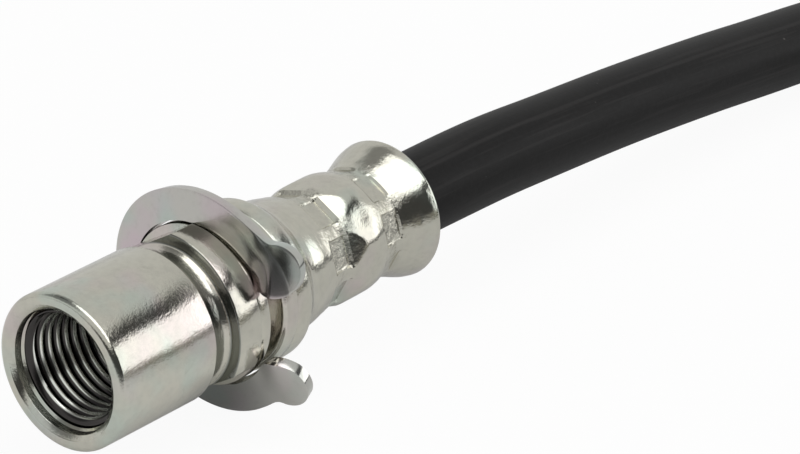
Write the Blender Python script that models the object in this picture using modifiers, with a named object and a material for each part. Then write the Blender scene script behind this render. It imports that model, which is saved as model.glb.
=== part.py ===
"""A brake hose: a female end fitting with its retaining clip, the free hose, and a banjo far end.

Metres, +Z up. The fitting lies along X with its port at -X and the hose leaving at +X. The origin
is under the middle of the fitting and its clip, on the surface that the clip rests on.
"""

from math import acos, atan2, cos, degrees, hypot, pi, radians, sin, sqrt, tan

import bmesh
import bpy
from mathutils import Matrix, Vector

MM = 0.001

# Fits
CLEARANCE = 0.3 * MM
TINY_MERGE = 0.00001

# Female end fitting, outside: stations run from the port's mouth
BARREL_RADIUS = 10.0 * MM
BARREL_LENGTH = 16.3 * MM
MOUTH_ROUNDING = 0.7 * MM
NECK_RADIUS = 8.9 * MM
NECK_LENGTH = 3.05 * MM
COLLAR_RADIUS = 10.85 * MM
COLLAR_LENGTH = 3.9 * MM
COLLAR_BEVEL = 0.25 * MM
FLAT_DISTANCE = 9.3 * MM
FLAT_ANGLE = 58.5
RING_RADIUS = 10.36 * MM
RING_LENGTH = 2.15 * MM
UNDERCUT_WIDTH = 0.2 * MM
UNDERCUT_DEPTH = 0.26 * MM
GROOVE_RADIUS = 8.6 * MM
GROOVE_WIDTH = 2.4 * MM
SHOULDER_RADIUS = 10.45 * MM
SHOULDER_LENGTH = 4.6 * MM
SHOULDER_BEVEL = 0.6 * MM
SHOULDER_FILLET = 3.4 * MM

# Crimped shell, the same on both end fittings: stations run back from its rim
SHELL_LENGTH = 22.9 * MM
SHELL_START_RADIUS = 8.76 * MM
SHELL_RADIUS = 8.13 * MM
DIP_RADIUS = 7.55 * MM
WAIST_RADIUS = 7.2 * MM
RIM_RADIUS = 9.0 * MM
RIM_WALL = 1.4 * MM
WAIST_FROM_RIM = 6.2 * MM
THROAT_FROM_RIM = 5.7 * MM
ROW_FROM_RIM = (16.55 * MM, 7.2 * MM)
ROW_FLOOR_RADIUS = (7.12 * MM, 7.0 * MM)
JAW_COUNT = 8
JAW_ANGLE = 26.0
JAW_LENGTH = 3.0 * MM
JAW_WIDTH = 4.4 * MM
JAW_SLOPE = 0.34

# Threaded port
THREAD_RADIUS = 6.75 * MM
PORT_DEPTH = 15.0 * MM
MOUTH_CHAMFER_RADIUS = 8.45 * MM
COUNTERBORE_RADIUS = 7.5 * MM
COUNTERBORE_DEPTH = 2.4 * MM

# Retaining clip
CLIP_RADIUS = 14.6 * MM
CLIP_THICKNESS = 1.5 * MM
CLIP_EDGE_ROUNDING = 0.3 * MM
CLIP_DISH = 0.8 * MM
CLIP_LEAN = 4.0
EAR_OUT = 11.55 * MM
EAR_SPREAD = 7.6 * MM
EAR_RADIUS = 3.2 * MM
NOTCH_RADIUS = 2.0 * MM
EAR_BEND_START = 5.5 * MM
EAR_BEND_RADIUS = 21.0 * MM

# Inserts, the nipples that the hose is crimped on
INSERT_RADIUS = 2.1 * MM
INSERT_BORE = 1.2 * MM
BARB_HEIGHT = 0.35 * MM
BARB_PITCH = 3.2 * MM
INSERT_TIP_FROM_RIM = 8.2 * MM
SEAT_FLANGE_RADIUS = 6.0 * MM
SEAT_FLANGE_LENGTH = 0.9 * MM
SEAT_NOSE_RADIUS = 1.9 * MM
SEAT_CONE_LENGTH = 2.0 * MM

# Hose
HOSE_RADIUS = 5.4 * MM
HOSE_SQUEEZE = 0.25 * MM
SOCKET_DEPTH = 25.2 * MM

# Banjo far end: stations run from the eye's centre
EYE_RADIUS = 9.8 * MM
EYE_THICKNESS = 11.5 * MM
EYE_HOLE_RADIUS = 5.15 * MM
EYE_BEVEL = 0.5 * MM
BANJO_NECK_RADIUS = 5.6 * MM
BANJO_NECK_END = 14.0 * MM
BANJO_SHOULDER_LENGTH = 2.2 * MM

# Facets round the turned pieces
BODY_STEPS = 44
BANJO_STEPS = 32
INSERT_STEPS = 16
HOSE_END_STEPS = 24

# Stations along the female fitting
NECK_AT = BARREL_LENGTH
COLLAR_AT = NECK_AT + NECK_LENGTH
RING_AT = COLLAR_AT + COLLAR_LENGTH
GROOVE_AT = RING_AT + RING_LENGTH
SHOULDER_AT = GROOVE_AT + GROOVE_WIDTH
CONE_AT = SHOULDER_AT + SHOULDER_LENGTH
SHELL_AT = CONE_AT + SHOULDER_FILLET
FITTING_LENGTH = SHELL_AT + SHELL_LENGTH

# Stations along the banjo end
BANJO_SHELL_AT = BANJO_NECK_END + BANJO_SHOULDER_LENGTH
BANJO_LENGTH = BANJO_SHELL_AT + SHELL_LENGTH

# Bores that follow from what goes through them
SOCKET_RADIUS = HOSE_RADIUS + CLEARANCE
INSERT_HOLE = INSERT_RADIUS + CLEARANCE
HOSE_BORE = INSERT_RADIUS + BARB_HEIGHT + CLEARANCE
CLIP_INNER_RADIUS = RING_RADIUS + CLEARANCE

# The clip leans back from the collar, which its hole nearly touches at the top
CLIP_SWING = CLIP_INNER_RADIUS * sin(radians(CLIP_LEAN))
CLIP_MIDDLE = RING_AT + CLEARANCE + CLIP_DISH + CLIP_SWING + CLIP_THICKNESS / 2

# Place of the fitting: its clip rests on the surface, and the origin is under its middle
CLIP_SLOPE = atan2(CLIP_DISH, CLIP_RADIUS - CLIP_INNER_RADIUS) + radians(CLIP_LEAN)
CLIP_EDGE_REACH = (CLIP_THICKNESS - CLIP_EDGE_ROUNDING) / 2 * sin(CLIP_SLOPE)
AXIS_Z = CLIP_RADIUS * cos(radians(CLIP_LEAN)) + CLIP_EDGE_REACH
AXIS_Y = (EAR_OUT + EAR_RADIUS - CLIP_RADIUS) / 2
MOUTH_X = -FITTING_LENGTH / 2

# Place of the banjo end: its rim rests on the surface
BANJO_EYE = Vector((0.0442, -0.106, RIM_RADIUS))

# Hose route, chosen by hand: the first half from the photograph, the rest for storage
HOSE_ROUTE = (
    (0.0300, 0.0001, 0.0147),
    (0.0480, 0.0001, 0.0144),
    (0.0620, 0.0001, 0.01345),
    (0.0782, 0.0001, 0.0122),
    (0.0958, 0.0001, 0.0104),
    (0.1080, 0.0001, 0.0089),
    (0.1240, -0.0004, 0.0072),
    (0.1416, -0.0038, 0.0060),
    (0.1576, -0.0124, 0.0056),
    (0.1694, -0.0265, 0.0055),
    (0.1757, -0.0438, 0.0055),
    (0.1757, -0.0622, 0.0055),
    (0.1694, -0.0795, 0.0055),
    (0.1576, -0.0936, 0.0056),
    (0.1416, -0.1022, 0.0060),
    (0.1240, -0.1056, 0.0068),
    (0.1070, -0.1060, 0.0078),
    (0.0930, -0.1060, 0.0088),
    (0.0840, -0.1060, 0.0090),
)
HOSE_POINT_SPACING = 4 * HOSE_RADIUS


def clear_scene():
    for obj in list(bpy.data.objects):
        bpy.data.objects.remove(obj, do_unlink=True)


def make_material(name, colour, metallic, roughness):
    material = bpy.data.materials.new(name)
    material.use_nodes = True
    shader = material.node_tree.nodes["Principled BSDF"]
    shader.inputs["Base Color"].default_value = (*colour, 1.0)
    shader.inputs["Metallic"].default_value = metallic
    shader.inputs["Roughness"].default_value = roughness
    material.diffuse_color = (*colour, 1.0)
    return material


def make_collection(name):
    collection = bpy.data.collections.new(name)
    bpy.context.scene.collection.children.link(collection)
    return collection


def add_object(name, mesh, collection, material=None):
    obj = bpy.data.objects.new(name, mesh)
    collection.objects.link(obj)
    if material:
        mesh.materials.append(material)
    return obj


def shade_round(mesh):
    mesh.shade_smooth()
    mesh.set_sharp_from_angle(angle=radians(35))


def arc(station, radius_at, radius, start, end, steps):
    """Points of a circular arc in the profile plane, angles in degrees from the station axis."""
    points = []
    for step in range(steps + 1):
        angle = radians(start + (end - start) * step / steps)
        points.append((station + radius * cos(angle), radius_at + radius * sin(angle)))
    return points


def smooth_through(points, steps):
    """A smooth curve through a few points of any dimension, each span cut into steps."""
    knots = [Vector(point) for point in points]
    knots = [2 * knots[0] - knots[1], *knots, 2 * knots[-1] - knots[-2]]
    curve = []
    for before, start, end, after in zip(knots, knots[1:], knots[2:], knots[3:]):
        for step in range(steps):
            t = step / steps
            slope_in = (end - before) / 2
            slope_out = (after - start) / 2
            curve.append(
                start * (2 * t**3 - 3 * t**2 + 1)
                + slope_in * (t**3 - 2 * t**2 + t)
                + end * (3 * t**2 - 2 * t**3)
                + slope_out * (t**3 - t**2)
            )
    curve.append(knots[-2])
    return curve


def turned(name, profile, steps, collection, material):
    """A closed profile of (station, radius) points, turned round the axis.

    The object's own Z points back along the stations, so the outer side runs from top to bottom.
    """
    mesh = bpy.data.meshes.new(name)
    points = [(radius, 0.0, -station) for station, radius in profile]
    edges = [(k, (k + 1) % len(points)) for k in range(len(points))]
    mesh.from_pydata(points, edges, [])
    obj = add_object(name, mesh, collection, material)
    screw = obj.modifiers.new("Turn", "SCREW")
    screw.axis = "Z"
    screw.steps = steps
    screw.render_steps = steps
    screw.use_merge_vertices = True
    screw.merge_threshold = TINY_MERGE
    screw.use_smooth_shade = True
    obj.rotation_euler = (0.0, -pi / 2, 0.0)
    return obj


def subtract(obj, cutter, name):
    boolean = obj.modifiers.new(name, "BOOLEAN")
    boolean.operation = "DIFFERENCE"
    boolean.solver = "EXACT"
    boolean.object = cutter


def make_cutter(name, mesh, collection):
    cutter = add_object(name, mesh, collection)
    cutter.hide_render = True
    cutter.display_type = "WIRE"
    return cutter


def shell_outline(shell_at):
    """The outer side of the crimped shell, from its start to just before the rim's edge."""
    rim_at = shell_at + SHELL_LENGTH
    rows = [rim_at - distance for distance in ROW_FROM_RIM]
    waist_at = rim_at - WAIST_FROM_RIM
    lead = rows[0] - shell_at
    drop = SHELL_START_RADIUS - DIP_RADIUS
    rise = SHELL_RADIUS - DIP_RADIUS
    fall = SHELL_RADIUS - WAIST_RADIUS
    flare = RIM_RADIUS - WAIST_RADIUS
    return [
        (shell_at, SHELL_START_RADIUS),
        (shell_at + 0.28 * lead, SHELL_START_RADIUS - 0.22 * drop),
        (shell_at + 0.52 * lead, SHELL_START_RADIUS - 0.5 * drop),
        (shell_at + 0.77 * lead, SHELL_START_RADIUS - 0.75 * drop),
        (rows[0], DIP_RADIUS),
        (rows[0] + 0.4 * JAW_LENGTH, DIP_RADIUS + 0.45 * rise),
        (rows[0] + 0.85 * JAW_LENGTH, DIP_RADIUS + 0.9 * rise),
        (0.5 * (rows[0] + rows[1]), SHELL_RADIUS),
        (rows[1] - 1.1 * JAW_LENGTH, SHELL_RADIUS - 0.05 * fall),
        (rows[1] - 0.6 * JAW_LENGTH, SHELL_RADIUS - 0.32 * fall),
        (rows[1] - 0.15 * JAW_LENGTH, SHELL_RADIUS - 0.66 * fall),
        (waist_at, WAIST_RADIUS),
        (waist_at + 0.19 * WAIST_FROM_RIM, WAIST_RADIUS + 0.12 * flare),
        (waist_at + 0.37 * WAIST_FROM_RIM, WAIST_RADIUS + 0.35 * flare),
        (waist_at + 0.58 * WAIST_FROM_RIM, WAIST_RADIUS + 0.61 * flare),
        (waist_at + 0.79 * WAIST_FROM_RIM, WAIST_RADIUS + 0.88 * flare),
        (rim_at - 0.25 * MM, RIM_RADIUS),
    ]


def socket_side(rim_at):
    """The inner side of the crimped shell, from the rim's rounded edge in to the socket's floor."""
    throat_at = rim_at - THROAT_FROM_RIM
    lip = RIM_RADIUS - RIM_WALL
    flare = lip - SOCKET_RADIUS
    floor_at = rim_at - SOCKET_DEPTH
    return [
        (rim_at, RIM_RADIUS - 0.25 * MM),
        (rim_at, lip + 0.25 * MM),
        (rim_at - 0.25 * MM, lip),
        (throat_at + 0.7 * THROAT_FROM_RIM, SOCKET_RADIUS + 0.8 * flare),
        (throat_at + 0.4 * THROAT_FROM_RIM, SOCKET_RADIUS + 0.4 * flare),
        (throat_at + 0.15 * THROAT_FROM_RIM, SOCKET_RADIUS + 0.08 * flare),
        (throat_at, SOCKET_RADIUS),
        (floor_at + CLEARANCE, SOCKET_RADIUS),
        (floor_at, SOCKET_RADIUS - CLEARANCE),
    ]


def fitting_profile():
    """The whole section of the female fitting: its outside from mouth to rim, then back inside."""
    neck_middle = (NECK_AT + COLLAR_AT) / 2
    undercut = RING_RADIUS - UNDERCUT_DEPTH
    outside = arc(MOUTH_ROUNDING, BARREL_RADIUS - MOUTH_ROUNDING, MOUTH_ROUNDING, 180, 90, 3)
    outside += [
        (NECK_AT - 0.3 * MM, BARREL_RADIUS),
        (NECK_AT, BARREL_RADIUS - 0.3 * MM),
        (NECK_AT + 0.15 * NECK_LENGTH, NECK_RADIUS + 0.25 * MM),
        (neck_middle - 0.1 * NECK_LENGTH, NECK_RADIUS),
        (neck_middle + 0.2 * NECK_LENGTH, NECK_RADIUS),
        (COLLAR_AT, NECK_RADIUS + 0.3 * MM),
        (COLLAR_AT, COLLAR_RADIUS - COLLAR_BEVEL),
        (COLLAR_AT + COLLAR_BEVEL, COLLAR_RADIUS),
        (RING_AT, COLLAR_RADIUS),
        (RING_AT, undercut),
        (RING_AT + UNDERCUT_WIDTH, undercut),
        (RING_AT + UNDERCUT_WIDTH, RING_RADIUS),
        (GROOVE_AT - 0.15 * MM, RING_RADIUS),
        (GROOVE_AT, RING_RADIUS - 0.15 * MM),
        (GROOVE_AT, GROOVE_RADIUS),
        (SHOULDER_AT, GROOVE_RADIUS),
        (SHOULDER_AT, SHOULDER_RADIUS - SHOULDER_BEVEL),
        (SHOULDER_AT + SHOULDER_BEVEL, SHOULDER_RADIUS),
        (CONE_AT - 0.2 * MM, SHOULDER_RADIUS),
    ]
    drop = SHOULDER_RADIUS - SHELL_START_RADIUS
    outside += [
        (CONE_AT + 0.15 * SHOULDER_FILLET, SHOULDER_RADIUS - 0.13 * drop),
        (CONE_AT + 0.38 * SHOULDER_FILLET, SHOULDER_RADIUS - 0.48 * drop),
        (CONE_AT + 0.65 * SHOULDER_FILLET, SHOULDER_RADIUS - 0.82 * drop),
    ]
    outside += shell_outline(SHELL_AT)
    inside = socket_side(FITTING_LENGTH)
    inside += [
        (FITTING_LENGTH - SOCKET_DEPTH, INSERT_HOLE),
        (PORT_DEPTH, INSERT_HOLE),
        (PORT_DEPTH, SEAT_FLANGE_RADIUS + CLEARANCE),
        (PORT_DEPTH - 0.5 * MM, THREAD_RADIUS),
        (COUNTERBORE_DEPTH + COUNTERBORE_RADIUS - THREAD_RADIUS, THREAD_RADIUS),
        (COUNTERBORE_DEPTH, COUNTERBORE_RADIUS),
        (MOUTH_CHAMFER_RADIUS - COUNTERBORE_RADIUS, COUNTERBORE_RADIUS),
        (0.0, MOUTH_CHAMFER_RADIUS),
    ]
    return outside + inside


def jaw_marks(name, rim_at, collection):
    """One cutter that holds all crimp-jaw wedges of a shell, built round the X axis."""
    bm = bmesh.new()
    reach = RIM_RADIUS + 2 * MM
    for from_rim, floor in zip(ROW_FROM_RIM, ROW_FLOOR_RADIUS):
        height = reach - floor
        for jaw in range(JAW_COUNT):
            made = bmesh.ops.create_cube(bm, size=1.0)["verts"]
            for vert in made:
                outer = vert.co.z > 0
                widen = 2 * JAW_SLOPE * height if outer else 0.0
                vert.co.x *= JAW_LENGTH + widen
                vert.co.y *= JAW_WIDTH + widen
                vert.co.z = floor + (height if outer else 0.0)
            angle = radians(JAW_ANGLE - 90) + 2 * pi * jaw / JAW_COUNT
            turn = Matrix.Rotation(angle, 4, "X")
            place = Matrix.Translation((rim_at - from_rim, 0, 0)) @ turn
            bmesh.ops.transform(bm, matrix=place, verts=made)
    bmesh.ops.recalc_face_normals(bm, faces=bm.faces)
    mesh = bpy.data.meshes.new(name)
    bm.to_mesh(mesh)
    bm.free()
    return make_cutter(name, mesh, collection)


def collar_flats(collection):
    """Two boxes that cut the collar's key flats and end inside the undercut behind it."""
    bm = bmesh.new()
    start = COLLAR_AT - 0.5 * MM
    end = RING_AT + UNDERCUT_WIDTH / 2
    depth = 4 * MM
    for side in (0, 180):
        made = bmesh.ops.create_cube(bm, size=1.0)["verts"]
        for vert in made:
            vert.co.x = start if vert.co.x < 0 else end
            vert.co.y *= 2 * COLLAR_RADIUS
            vert.co.z = FLAT_DISTANCE + (depth if vert.co.z > 0 else 0.0)
        turn = Matrix.Rotation(radians(FLAT_ANGLE - 90 + side), 4, "X")
        bmesh.ops.transform(bm, matrix=turn, verts=made)
    bmesh.ops.recalc_face_normals(bm, faces=bm.faces)
    mesh = bpy.data.meshes.new("collar_flats")
    bm.to_mesh(mesh)
    bm.free()
    return make_cutter("collar_flats", mesh, collection)


def place_fitting(obj):
    obj.location = (MOUTH_X, AXIS_Y, AXIS_Z)


def make_fitting_body(parts, cutters, material):
    body = turned("fitting_body", fitting_profile(), BODY_STEPS, parts, material)
    place_fitting(body)
    marks = jaw_marks("fitting_jaw_marks", FITTING_LENGTH, cutters)
    flats = collar_flats(cutters)
    for cutter in (marks, flats):
        place_fitting(cutter)
    subtract(body, marks, "Crimp jaws")
    subtract(body, flats, "Key flats")


def barbs(start, end):
    """The saw teeth of a nipple's shank, from the socket's floor to its tip, on the outside."""
    count = max(1, int((end - start) / BARB_PITCH))
    points = []
    for barb in range(count):
        at = end - (count - barb) * BARB_PITCH
        points += [(at, INSERT_RADIUS), (at, INSERT_RADIUS + BARB_HEIGHT)]
    points += [(end, INSERT_RADIUS)]
    return points


def make_seat_insert(parts, material):
    """The female end's nipple: a coned tube seat, a flange on the port's floor, a barbed shank."""
    flange_end = PORT_DEPTH - CLEARANCE
    flange_at = flange_end - SEAT_FLANGE_LENGTH
    nose_at = flange_at - SEAT_CONE_LENGTH
    cone_radius = SEAT_NOSE_RADIUS + SEAT_CONE_LENGTH
    tip_at = FITTING_LENGTH - INSERT_TIP_FROM_RIM
    profile = [(nose_at, SEAT_NOSE_RADIUS), (flange_at, cone_radius)]
    profile += [(flange_at, SEAT_FLANGE_RADIUS), (flange_end, SEAT_FLANGE_RADIUS)]
    profile += [(flange_end, INSERT_RADIUS)]
    profile += barbs(FITTING_LENGTH - SOCKET_DEPTH + 2 * MM, tip_at - 1 * MM)
    profile += [(tip_at, INSERT_RADIUS - 0.4 * MM), (tip_at, INSERT_BORE), (nose_at, INSERT_BORE)]
    insert = turned("seat_insert", profile, INSERT_STEPS, parts, material)
    place_fitting(insert)


def make_crimped_hose(name, rim_at, location, parts, material):
    """The end of the hose inside a socket, hollow round the insert and waisted by the jaws."""
    floor_at = rim_at - SOCKET_DEPTH + CLEARANCE
    end_at = rim_at - THROAT_FROM_RIM
    squeezed = HOSE_RADIUS - HOSE_SQUEEZE
    profile = [(floor_at, HOSE_RADIUS - 0.3 * MM), (floor_at + 0.3 * MM, HOSE_RADIUS)]
    for from_rim in ROW_FROM_RIM:
        middle = rim_at - from_rim
        profile += [
            (middle - 0.8 * JAW_LENGTH, HOSE_RADIUS),
            (middle - 0.3 * JAW_LENGTH, squeezed),
            (middle + 0.3 * JAW_LENGTH, squeezed),
        ]
        if from_rim == ROW_FROM_RIM[0]:
            profile += [(middle + 0.8 * JAW_LENGTH, HOSE_RADIUS)]
    profile += [(end_at, squeezed), (end_at, HOSE_BORE), (floor_at, HOSE_BORE)]
    hose_end = turned(name, profile, HOSE_END_STEPS, parts, material)
    hose_end.location = location


def circle_point(centre, radius, degrees_from_axis):
    angle = radians(degrees_from_axis)
    return (centre[0] + radius * cos(angle), centre[1] + radius * sin(angle))


def arc_points(centre, radius, start, end, steps):
    return [circle_point(centre, radius, start + (end - start) * k / steps) for k in range(steps + 1)]


def clip_edges():
    """Matching points of one arm's outer and inner edges, from the closed back to the ear's tip.

    The first number runs towards the opening and the second to the side.
    """
    centre = (0.0, 0.0)
    ear = (EAR_OUT, EAR_SPREAD)
    ear_distance = hypot(*ear)
    ear_angle = degrees(atan2(EAR_SPREAD, EAR_OUT))
    far = CLIP_RADIUS + NOTCH_RADIUS
    near = EAR_RADIUS + NOTCH_RADIUS
    spread = (far**2 + ear_distance**2 - near**2) / (2 * far * ear_distance)
    notch_angle = ear_angle + degrees(acos(spread))
    notch = circle_point(centre, far, notch_angle)
    to_ear = degrees(atan2(ear[1] - notch[1], ear[0] - notch[0]))
    to_centre = degrees(atan2(-notch[1], -notch[0])) % 360 - 360
    from_ear = to_ear + 180

    seat_end = ear_angle
    outer = arc_points(centre, CLIP_RADIUS, 180, notch_angle, 18)
    outer += arc_points(notch, NOTCH_RADIUS, to_centre, to_ear, 4)[1:]
    outer += arc_points(ear, EAR_RADIUS, from_ear, 0, 6)[1:]
    inner = arc_points(centre, CLIP_INNER_RADIUS, 180, seat_end, 18)
    start = inner[-1]
    line_end = circle_point(ear, EAR_RADIUS, -115)
    for k in range(1, 5):
        share = k / 4
        inner.append(
            (
                start[0] + (line_end[0] - start[0]) * share,
                start[1] + (line_end[1] - start[1]) * share,
            )
        )
    inner += arc_points(ear, EAR_RADIUS, -115, 0, 6)[1:]
    return outer, inner


def make_clip(parts, material):
    """Half of the clip as a dished sheet, its ear bent back, then mirrored and thickened."""
    outer, inner = clip_edges()
    across = 4
    bm = bmesh.new()
    rows = []
    for (out_v, out_w), (in_v, in_w) in zip(outer, inner):
        row = []
        for k in range(across + 1):
            share = k / across
            v = out_v + (in_v - out_v) * share
            w = out_w + (in_w - out_w) * share
            past = max(0.0, v - EAR_BEND_START)
            inward = max(0.0, CLIP_RADIUS - hypot(v, w)) / (CLIP_RADIUS - CLIP_INNER_RADIUS)
            x = past**2 / (2 * EAR_BEND_RADIUS) - CLIP_DISH * inward
            row.append(bm.verts.new((x, -v, w)))
        rows.append(row)
    for row, after in zip(rows, rows[1:]):
        for k in range(across):
            bm.faces.new((row[k], row[k + 1], after[k + 1], after[k]))
    bmesh.ops.remove_doubles(bm, verts=bm.verts, dist=TINY_MERGE)
    bmesh.ops.recalc_face_normals(bm, faces=bm.faces)
    mesh = bpy.data.meshes.new("retaining_clip")
    bm.to_mesh(mesh)
    bm.free()
    clip = add_object("retaining_clip", mesh, parts, material)
    mirror = clip.modifiers.new("Other arm", "MIRROR")
    mirror.use_axis = (False, False, True)
    mirror.merge_threshold = TINY_MERGE
    wall = clip.modifiers.new("Sheet", "SOLIDIFY")
    wall.thickness = CLIP_THICKNESS
    wall.offset = 0.0
    wall.use_even_offset = True
    rounding = clip.modifiers.new("Edge rounding", "BEVEL")
    rounding.width = CLIP_EDGE_ROUNDING
    rounding.segments = 1
    rounding.limit_method = "ANGLE"
    rounding.angle_limit = radians(50)
    clip.location = (MOUTH_X + CLIP_MIDDLE, AXIS_Y, AXIS_Z)
    clip.rotation_euler = (0.0, -radians(CLIP_LEAN), 0.0)


def banjo_profile():
    """The section of the banjo end's stem, from inside its eye to the rim of its shell."""
    start = EYE_HOLE_RADIUS + 1.0 * MM
    outside = [
        (start, INSERT_BORE),
        (start, BANJO_NECK_RADIUS),
        (BANJO_NECK_END, BANJO_NECK_RADIUS),
        (BANJO_NECK_END + 0.2 * BANJO_SHOULDER_LENGTH, BANJO_NECK_RADIUS + 0.4 * MM),
        (BANJO_SHELL_AT - 0.35 * BANJO_SHOULDER_LENGTH, SHELL_START_RADIUS - 0.7 * MM),
    ]
    outside += shell_outline(BANJO_SHELL_AT)
    inside = socket_side(BANJO_LENGTH)
    inside += [
        (BANJO_LENGTH - SOCKET_DEPTH, INSERT_BORE),
    ]
    return outside + inside


def eye_disc(name, radius, thickness, sides, collection):
    bm = bmesh.new()
    bmesh.ops.create_cone(
        bm,
        cap_ends=True,
        segments=sides,
        radius1=radius,
        radius2=radius,
        depth=thickness,
    )
    mesh = bpy.data.meshes.new(name)
    bm.to_mesh(mesh)
    bm.free()
    return make_cutter(name, mesh, collection)


def make_banjo_body(parts, cutters, material):
    body = turned("banjo_body", banjo_profile(), BANJO_STEPS, parts, material)
    body.location = BANJO_EYE
    marks = jaw_marks("banjo_jaw_marks", BANJO_LENGTH, cutters)
    eye = eye_disc("banjo_eye_disc", EYE_RADIUS, EYE_THICKNESS, 48, cutters)
    hole = eye_disc("banjo_eye_hole", EYE_HOLE_RADIUS, 2 * EYE_THICKNESS, 32, cutters)
    for cutter in (marks, eye, hole):
        cutter.location = BANJO_EYE
    rounding = eye.modifiers.new("Edge rounding", "BEVEL")
    rounding.width = EYE_BEVEL
    rounding.segments = 1
    rounding.limit_method = "ANGLE"
    rounding.angle_limit = radians(50)
    subtract(body, marks, "Crimp jaws")
    join = body.modifiers.new("Eye", "BOOLEAN")
    join.operation = "UNION"
    join.solver = "EXACT"
    join.object = eye
    subtract(body, hole, "Bolt hole")


def make_banjo_insert(parts, material):
    """The far end's nipple, pressed on the socket's floor."""
    floor_at = BANJO_LENGTH - SOCKET_DEPTH + CLEARANCE
    tip_at = BANJO_LENGTH - INSERT_TIP_FROM_RIM
    profile = [(floor_at, INSERT_RADIUS)]
    profile += barbs(floor_at + 2 * MM, tip_at - 1 * MM)
    profile += [(tip_at, INSERT_RADIUS - 0.4 * MM), (tip_at, INSERT_BORE), (floor_at, INSERT_BORE)]
    insert = turned("banjo_insert", profile, INSERT_STEPS, parts, material)
    insert.location = BANJO_EYE


def spaced(points, spacing):
    """Points at even distances along a dense line, its two ends kept."""
    lengths = [0.0]
    for start, end in zip(points, points[1:]):
        lengths.append(lengths[-1] + (end - start).length)
    count = max(2, round(lengths[-1] / spacing))
    even = []
    for k in range(count + 1):
        target = lengths[-1] * k / count
        index = next(i for i, length in enumerate(lengths) if length >= target - 1e-12)
        if index == 0:
            even.append(points[0])
            continue
        share = (target - lengths[index - 1]) / (lengths[index] - lengths[index - 1])
        even.append(points[index - 1].lerp(points[index], share))
    return even


def make_hose(parts, material):
    """The free hose, a plain tube along its route from one throat to the other."""
    front = Vector((MOUTH_X + FITTING_LENGTH - THROAT_FROM_RIM + CLEARANCE, AXIS_Y, AXIS_Z))
    rear = BANJO_EYE + Vector((BANJO_LENGTH - THROAT_FROM_RIM + CLEARANCE, 0.0, 0.0))
    route = smooth_through((front, *HOSE_ROUTE, rear), 12)
    line = spaced(route, HOSE_POINT_SPACING)
    curve = bpy.data.curves.new("hose", "CURVE")
    curve.dimensions = "3D"
    curve.bevel_depth = HOSE_RADIUS
    curve.bevel_resolution = 4
    curve.use_fill_caps = True
    spline = curve.splines.new("POLY")
    spline.points.add(len(line) - 1)
    for point, place in zip(spline.points, line):
        point.co = (*place, 1.0)
    hose = bpy.data.objects.new("hose", curve)
    parts.objects.link(hose)
    curve.materials.append(material)


def main():
    clear_scene()
    parts = make_collection("brake_hose")
    cutters = make_collection("cutters")
    zinc = make_material("zinc_plated_steel", (0.45, 0.44, 0.40), 1.0, 0.28)
    spring = make_material("plated_spring_steel", (0.42, 0.41, 0.39), 1.0, 0.25)
    insert = make_material("insert_steel", (0.40, 0.38, 0.33), 1.0, 0.35)
    rubber = make_material("hose_rubber", (0.018, 0.017, 0.018), 0.0, 0.55)

    make_fitting_body(parts, cutters, zinc)
    make_seat_insert(parts, insert)
    make_clip(parts, spring)
    fitting_place = (MOUTH_X, AXIS_Y, AXIS_Z)
    make_crimped_hose("hose_end_front", FITTING_LENGTH, fitting_place, parts, rubber)
    make_hose(parts, rubber)
    make_crimped_hose("hose_end_rear", BANJO_LENGTH, BANJO_EYE, parts, rubber)
    make_banjo_body(parts, cutters, zinc)
    make_banjo_insert(parts, insert)


main()
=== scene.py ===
# %% [markdown]
# # A brake hose on a studio table
# This notebook dresses the solid model of a brake hose for a close studio picture. The model gives
# every size and place. Here the turned steel, the crimped sockets, the clip and the rubber get the
# fine forms and finishes that a close camera sees.

# %% Load the solid model
from math import acos, atan2, cos, degrees, exp, hypot, pi, radians, sin

import bmesh
import bpy
from mathutils import Matrix, Vector


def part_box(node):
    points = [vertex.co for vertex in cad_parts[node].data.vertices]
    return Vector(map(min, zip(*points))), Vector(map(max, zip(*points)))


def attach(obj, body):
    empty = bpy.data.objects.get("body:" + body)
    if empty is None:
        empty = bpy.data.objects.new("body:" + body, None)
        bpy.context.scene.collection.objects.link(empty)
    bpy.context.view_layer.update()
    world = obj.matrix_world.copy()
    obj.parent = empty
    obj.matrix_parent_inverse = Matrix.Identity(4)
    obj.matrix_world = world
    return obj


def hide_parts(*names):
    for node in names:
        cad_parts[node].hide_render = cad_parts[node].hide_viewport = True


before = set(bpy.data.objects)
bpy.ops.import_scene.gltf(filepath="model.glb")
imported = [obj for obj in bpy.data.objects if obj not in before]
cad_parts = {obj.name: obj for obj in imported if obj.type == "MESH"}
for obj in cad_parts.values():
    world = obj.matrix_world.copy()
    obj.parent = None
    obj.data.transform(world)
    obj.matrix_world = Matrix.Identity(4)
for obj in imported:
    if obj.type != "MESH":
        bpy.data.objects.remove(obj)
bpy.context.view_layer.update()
MM = 0.001

# %% [markdown]
# ## The fitting's place
# Every turned piece of this hose is described along its own axis, with stations counted back from
# the port's mouth, as a lathe drawing does. The boxes of the solid nodes say where those axes lie:
# the collar is the widest turning, so the fitting's box is centred on its axis.

# %% Read the places of the two end fittings
body_low, body_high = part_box("fitting_body")
banjo_low, banjo_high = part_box("banjo_body")

MOUTH_X = body_low[0]
RIM_X = body_high[0]
AXIS_Y = (body_low[1] + body_high[1]) / 2
AXIS_Z = (body_low[2] + body_high[2]) / 2
FITTING_PLACE = Vector((MOUTH_X, AXIS_Y, AXIS_Z))
FITTING_LENGTH = RIM_X - MOUTH_X

EYE_RADIUS = 9.8 * MM
BANJO_PLACE = Vector((banjo_low[0] + EYE_RADIUS, banjo_low[1] + EYE_RADIUS, 9.0 * MM))
BANJO_LENGTH = banjo_high[0] - BANJO_PLACE.x
print("fitting length:", round(FITTING_LENGTH, 5), "banjo length:", round(BANJO_LENGTH, 5))

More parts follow.
